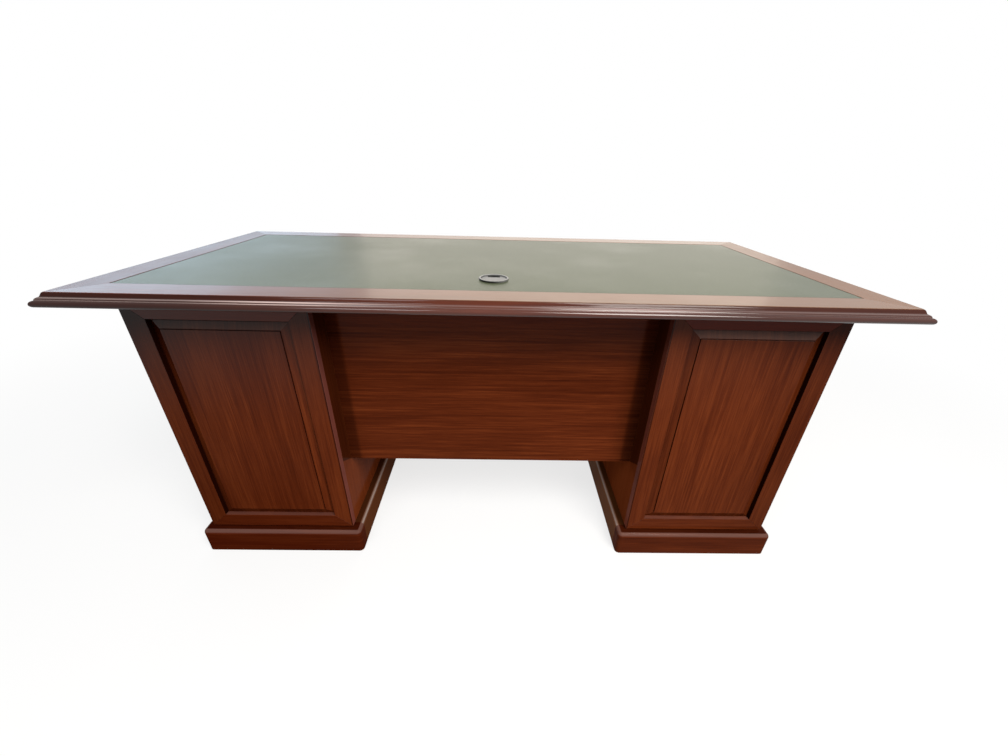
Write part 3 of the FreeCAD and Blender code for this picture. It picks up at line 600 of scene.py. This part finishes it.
# Cable grommet: a moulded grey plastic sleeve with a flange, and a cap that lies loose in it.
# Both have a fine matt texture from the mould. Shade is painted on the flange's side, most on the left, and
# the shaft is painted dark inside.
def moulded_plastic(shader, coords, grey, layers=()):
    """Plastic with a fine sparked texture and faint clouds. Each layer lays a colour over a share of it."""
    spark = coords.noise(2600, 2)
    colour = coords.noise(40, 3).blend((grey, grey, grey, 1), (grey * 1.35, grey * 1.35, grey * 1.3, 1))
    for share, layer in layers:
        colour = share.blend(colour, layer)
    normal = spark.node("Bump", {"Height": spark, "Strength": 0.12, "Distance": 0.0001})
    coords.fill(shader, {"Base Color": colour, "Roughness": 0.28 + spark * 0.1, "Normal": normal})


grommet_arris = 0.0004
sleeve_low, sleeve_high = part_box("grommet_sleeve")
cap_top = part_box("grommet_cap")[1].z
flange_radius = (sleeve_high.x - sleeve_low.x) / 2
sleeve_grey, shader, coords = new_material("sleeve_grey")
flat = coords.node("VectorMath", {0: coords, 1: (1, 1, 0)}, operation="MULTIPLY")
axis = ((sleeve_low.x + sleeve_high.x) / 2, (sleeve_low.y + sleeve_high.y) / 2, 0)
from_axis = flat.node("VectorMath", {0: flat, 1: axis}, "Value", operation="DISTANCE")
upright = 1 - facing(coords, "Z").rise(0.3, 0.7)
# Painted shade on the flange's side, most on the left, and inside the shaft.
flange_side = upright * (from_axis > flange_radius - 0.0005)
shade_to_left = 1 - part_of(coords, "X").rise(axis[0] - 0.005, axis[0] + 0.03) * 0.8
shaft = (from_axis < flange_radius - 0.002) * (part_of(coords, "Z") < cap_top + 0.0002)
moulded_plastic(shader, coords, grey=0.13, layers=[(flange_side * shade_to_left, painted_grey_shade), (shaft, painted_grey_shade)])
cap_grey, shader, coords = new_material("cap_grey")
moulded_plastic(shader, coords, grey=0.08)
dress(sleeve_grey, "grommet_sleeve")
dress(cap_grey, "grommet_cap")
soften(grommet_arris, "grommet_sleeve", "grommet_cap")

# Fronts on the sitter's side: mahogany boards with a bevelled field, one on each drawer and on the door.
# Drawer fronts have level grain, and the door upright grain.
front_arris = 0.0008
front_wood = board_material("front_mahogany", grain="x", face="y", plank=27.1)
door_wood = board_material("door_mahogany", grain="z", face="y", plank=30.6)
pedestal_drawers = ("file_drawer", "middle_drawer", "upper_drawer")
drawers = (*pedestal_drawers, "centre_drawer")
for drawer in drawers:
    dress(front_wood, f"{drawer}_front")
    soften(front_arris, f"{drawer}_front")
dress(door_wood, "cupboard_door")
soften(front_arris, "cupboard_door")


# Drawer boxes: pale hardwood sides and back with a thin plywood bottom let into a groove.
# They are sanded and sealed but not stained.
def pale_wood(name, grain, face, plank):
    """Sealed pale hardwood: soft streaks and fine pores drawn out along the grain."""
    material, shader, coords = new_material(name)
    board = along_grain(coords, grain, face, plank)
    fibre = board.node("Mapping", {"Vector": board, "Scale": (0.03, 1, 1)})
    streak = fibre.noise(70, 4, 0.6)
    pores = fibre.noise(1500, 1).rise(0.6, 0.72)
    colour = streak.node("ValToRGB", {"Fac": streak}, stops=[
        (0.32, (0.40, 0.255, 0.125)),
        (0.50, (0.52, 0.350, 0.190)),
        (0.70, (0.62, 0.445, 0.260)),
    ])
    height = streak * 0.4 - pores * 0.5
    board.fill(shader, {
        "Base Color": (pores * 0.35).blend(colour, (0.26, 0.15, 0.065, 1)),
        "Roughness": 0.46 + streak * 0.12,
        "Normal": height.node("Bump", {"Height": height, "Strength": 0.2, "Distance": 0.0004}),
    })
    return material


wall_wood = pale_wood("drawer_wall_wood", grain="y", face="x", plank=33.2)
bottom_wood = pale_wood("drawer_bottom_ply", grain="x", face="z", plank=36.9)
for drawer in drawers:
    dress(wall_wood, f"{drawer}_walls")
    dress(bottom_wood, f"{drawer}_bottom")

# Runners: plated steel channels, one screwed to each side of a drawer and one to the cabinet round it.
# The drawer's channel slides inside the cabinet's channel.
dress(steel, "left_tracks", "centre_tracks", *[f"{drawer}_runners" for drawer in drawers])

# Pulls: cast and turned brass, softly polished, with a dull patina in the hollows.
# Two posts with ball heads stand on turned rosettes, and a bail with a swelling grip hangs between them.
brass, shader, coords = new_material("aged_brass")
patina = coords.noise(120, 4, 0.62).rise(0.45, 0.75)
scuff = coords.noise(900, 3, 0.65)
coords.fill(shader, {
    "Base Color": (patina * 0.6).blend((0.72, 0.47, 0.17, 1), (0.34, 0.19, 0.065, 1)),
    "Roughness": 0.2 + patina * 0.2 + scuff * 0.1,
    "Normal": scuff.node("Bump", {"Height": scuff, "Strength": 0.06, "Distance": 0.0002}),
})
shader.inputs["Metallic"].default_value = 1

pull_pitch = 0.096
pull_axis = 0.018
rod_radius = 0.0028
bail_arm = 0.0345
bail_drop = 0.032
bail_bend = 0.006
pin_end = 0.051
grip_swell = 0.45
rosette_round = 0.0003
rosette_outline = [
    (0.0132, 0.0), (0.0132, 0.0016), (0.0122, 0.0024), (0.0108, 0.0024), (0.0102, 0.0034),
    (0.0086, 0.0042), (0.0070, 0.0036), (0.0062, 0.0036), (0.0054, 0.0052), (0.0042, 0.0052),
]


def turned(profile, centre):
    """A profile of (radius, out) turned about the Y axis through a centre:
    x = radius * cos(a), y = out, z = radius * sin(a) from there, for a full turn of a."""
    radius, out = np.array(profile).T[:, :, None]
    angle = np.linspace(0, 2 * math.pi, 48, endpoint=False)
    rings = [radius * np.cos(angle), out + 0 * angle, radius * np.sin(angle)]
    return np.stack(rings, axis=-1) + np.array(centre)


def bail_rings(centre):
    """A round rod along the bail's path, which lies in an XZ plane through a centre. A ring of radius r
    stands square to the path, and swells over the grip: r = rod * (1 + swell * exp(-(x / arm * 2) ** 2))."""
    corners = [(-pin_end, 0), (-bail_arm, 0), (-bail_arm, -bail_drop)]
    corners += [(-x, z) for x, z in corners[::-1]]
    path = rounded(corners, bail_bend, 8)
    low = np.flatnonzero(np.isclose(path[:, 1], -bail_drop))
    grip_x = np.linspace(path[low[0], 0], path[low[-1], 0], 25)
    grip = np.column_stack([grip_x, np.full_like(grip_x, -bail_drop)])
    path = np.vstack([path[:low[0]], grip, path[low[-1] + 1:]])
    along = np.gradient(path, axis=0)
    along /= np.linalg.norm(along, axis=1, keepdims=True)
    on_grip = np.exp(-(path[:, 0] / bail_arm * 2) ** 2) * (path[:, 1] < -bail_drop / 2)
    radius = rod_radius * (1 + grip_swell * on_grip)
    angle = np.linspace(0, 2 * math.pi, 20, endpoint=False)
    sideways = radius[:, None] * np.cos(angle)
    x = path[:, :1] - along[:, 1:] * sideways
    z = path[:, 1:] + along[:, :1] * sideways
    y = radius[:, None] * np.sin(angle)
    return np.stack([x, y, z], axis=-1) + np.array(centre)


for front, body in [*zip(pedestal_drawers, pedestal_drawers), ("door", "cupboard_door")]:
    dress(brass, f"{front}_posts")
    low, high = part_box(f"{front}_posts")
    middle_x = (low.x + high.x) / 2
    middle_z = (low.z + high.z) / 2
    spots = [(middle_x + side * pull_pitch / 2, low.y, middle_z) for side in (-1, 1)]
    rosettes = [turned(rounded(rosette_outline, rosette_round, 3), spot) for spot in spots]
    make_piece(f"{front}_rosettes", rosettes, brass, "brass", body)
    bail = [bail_rings((middle_x, low.y + pull_axis, middle_z))]
    make_piece(f"{front}_bail_rod", bail, brass, "brass", f"{front}_bail", f"{front}_bail")

# Lock: a brass case pressed into the centre drawer's front, with a brass plug that has a keyway.
# The plug turns a quarter turn in the case.
lock_arris = 0.0003
dress(brass, "lock_case", "lock_plug")
soften(lock_arris, "lock_case")

# Cupboard: steel pivots at the door's outer corners carry it, and their plates are screwed to the cabinet.
# One loose mahogany shelf lies on four steel pins.
dress(steel, "pivot_plates", "shelf_pins")
dress(shelf_wood, "cupboard_shelf")
soften(board_arris, "cupboard_shelf")

# Studio: a pale floor that keeps the desk's shadow and is dark inside the plinths, and a white background.
# A strong soft light stands at the front right and a weak one at the front left. The top mirrors a cool one
# on the left and a warm one behind, and a low one behind lights the kneehole.
floor_half = 12
floor_white = 0.72
corners = [(x * floor_half, y * floor_half, 0) for x, y in ((-1, -1), (1, -1), (1, 1), (-1, 1))]
floor_mesh = bpy.data.meshes.new("floor")
floor_mesh.from_pydata(corners, [], [(0, 1, 2, 3)])
floor = bpy.data.objects.new("floor", floor_mesh)
bpy.context.scene.collection.objects.link(floor)


def seen_directly(tree):
    """1 for rays from the camera, in reflections and through glass, and 0 for light that falls on things."""
    rays = ("Is Camera Ray", "Is Glossy Ray", "Is Transmission Ray")
    camera, glossy, glass = (Shade(tree).node("LightPath", {}, ray) for ray in rays)
    return camera.larger(glossy.larger(glass))


floor_paint, shader, coords = new_material("pale_floor")
tree = floor_paint.node_tree
depth = part_of(coords, "Y")
from_middle = abs(part_of(coords, "X"))
under_plinths = (from_middle > -plinth_high.x) * (from_middle < -plinth_low.x)
under_plinths *= (depth > plinth_low.y) * (depth < plinth_high.y)
far = coords.node("VectorMath", {0: coords}, "Value", operation="LENGTH").rise(1.2, 3.0)
white = coords.node("Emission", {"Color": (1, 1, 1, 1), "Strength": seen_directly(tree)})
painted = coords.node("BsdfDiffuse", {"Color": (0.85, 0.85, 0.85, 1)})
whiteness = (floor_white + far * (1 - floor_white)) * (1 - under_plinths)
surface = coords.node("MixShader", {0: whiteness, 1: painted, 2: white})
coords.fill(tree.nodes["Material Output"], {"Surface": surface})
floor_mesh.materials.append(floor_paint)

world = bpy.data.worlds.new("studio")
bpy.context.scene.world = world
world.use_nodes = True
tree = world.node_tree
ambient = 0.4
Shade(tree).fill(tree.nodes["Background"], {
    "Color": (1, 1, 1, 1),
    "Strength": ambient + seen_directly(tree) * (1 - ambient),
})


def soft_light(name, place, aim, width, height, power, colour):
    """A rectangular lamp that faces a point, which the camera doesn't see."""
    lamp = bpy.data.lights.new(name, "AREA")
    lamp.shape = "RECTANGLE"
    lamp.size = width
    lamp.size_y = height
    lamp.energy = power
    lamp.color = colour
    holder = bpy.data.objects.new(name, lamp)
    holder.location = place
    holder.rotation_euler = (Vector(aim) - Vector(place)).to_track_quat("-Z", "Y").to_euler()
    holder.visible_camera = False
    bpy.context.scene.collection.objects.link(holder)
    return holder


soft_light("front_right", (1.22, -2.0, 2.8), (0.3, -0.3, 0.4), 1.3, 1.8, 122, (1.0, 0.96, 0.90))
soft_light("front_left", (-1.1, -2.0, 2.8), (-0.3, -0.3, 0.4), 1.0, 0.9, 26, (0.94, 0.97, 1.0))
soft_light("left_window", (-2.5, 3.15, 1.21), (0, 3.15, 1.21), 4.7, 0.82, 21, (0.45, 0.75, 1.0))
soft_light("back_wall", (0.8, 3.2, 1.6), (0.8, 0, 1.6), 4.4, 1.4, 20, (1.0, 0.89, 0.74))
behind = soft_light("behind", (0, 3.4, 0.42), (0, 0.4, 0.42), 2.4, 0.6, 60, (1.0, 0.98, 0.95))
behind.visible_glossy = False

# Camera: a wide lens on the visitor's side, a little higher than the top and in front of its middle.
# Its place and its turn were solved from the corners of the top, the pedestals and the plinths.
camera_data = bpy.data.cameras.new("camera")
camera_data.sensor_width = 36
camera_data.lens = 14.3857
camera_data.clip_start = 0.01
camera = bpy.data.objects.new("camera", camera_data)
image_right = Vector((0.999681, -0.009292, 0.023503))
image_down = Vector((0.016348, -0.471468, -0.881731))
ahead = image_right.cross(image_down)
place = Vector((0.009285, -1.137732, 0.995277))
turned_to = Matrix([image_right, -image_down, -ahead]).transposed().to_4x4()
camera.matrix_world = Matrix.Translation(place) @ turned_to
bpy.context.scene.collection.objects.link(camera)
bpy.context.scene.camera = camera
bpy.context.scene.view_settings.view_transform = "Standard"
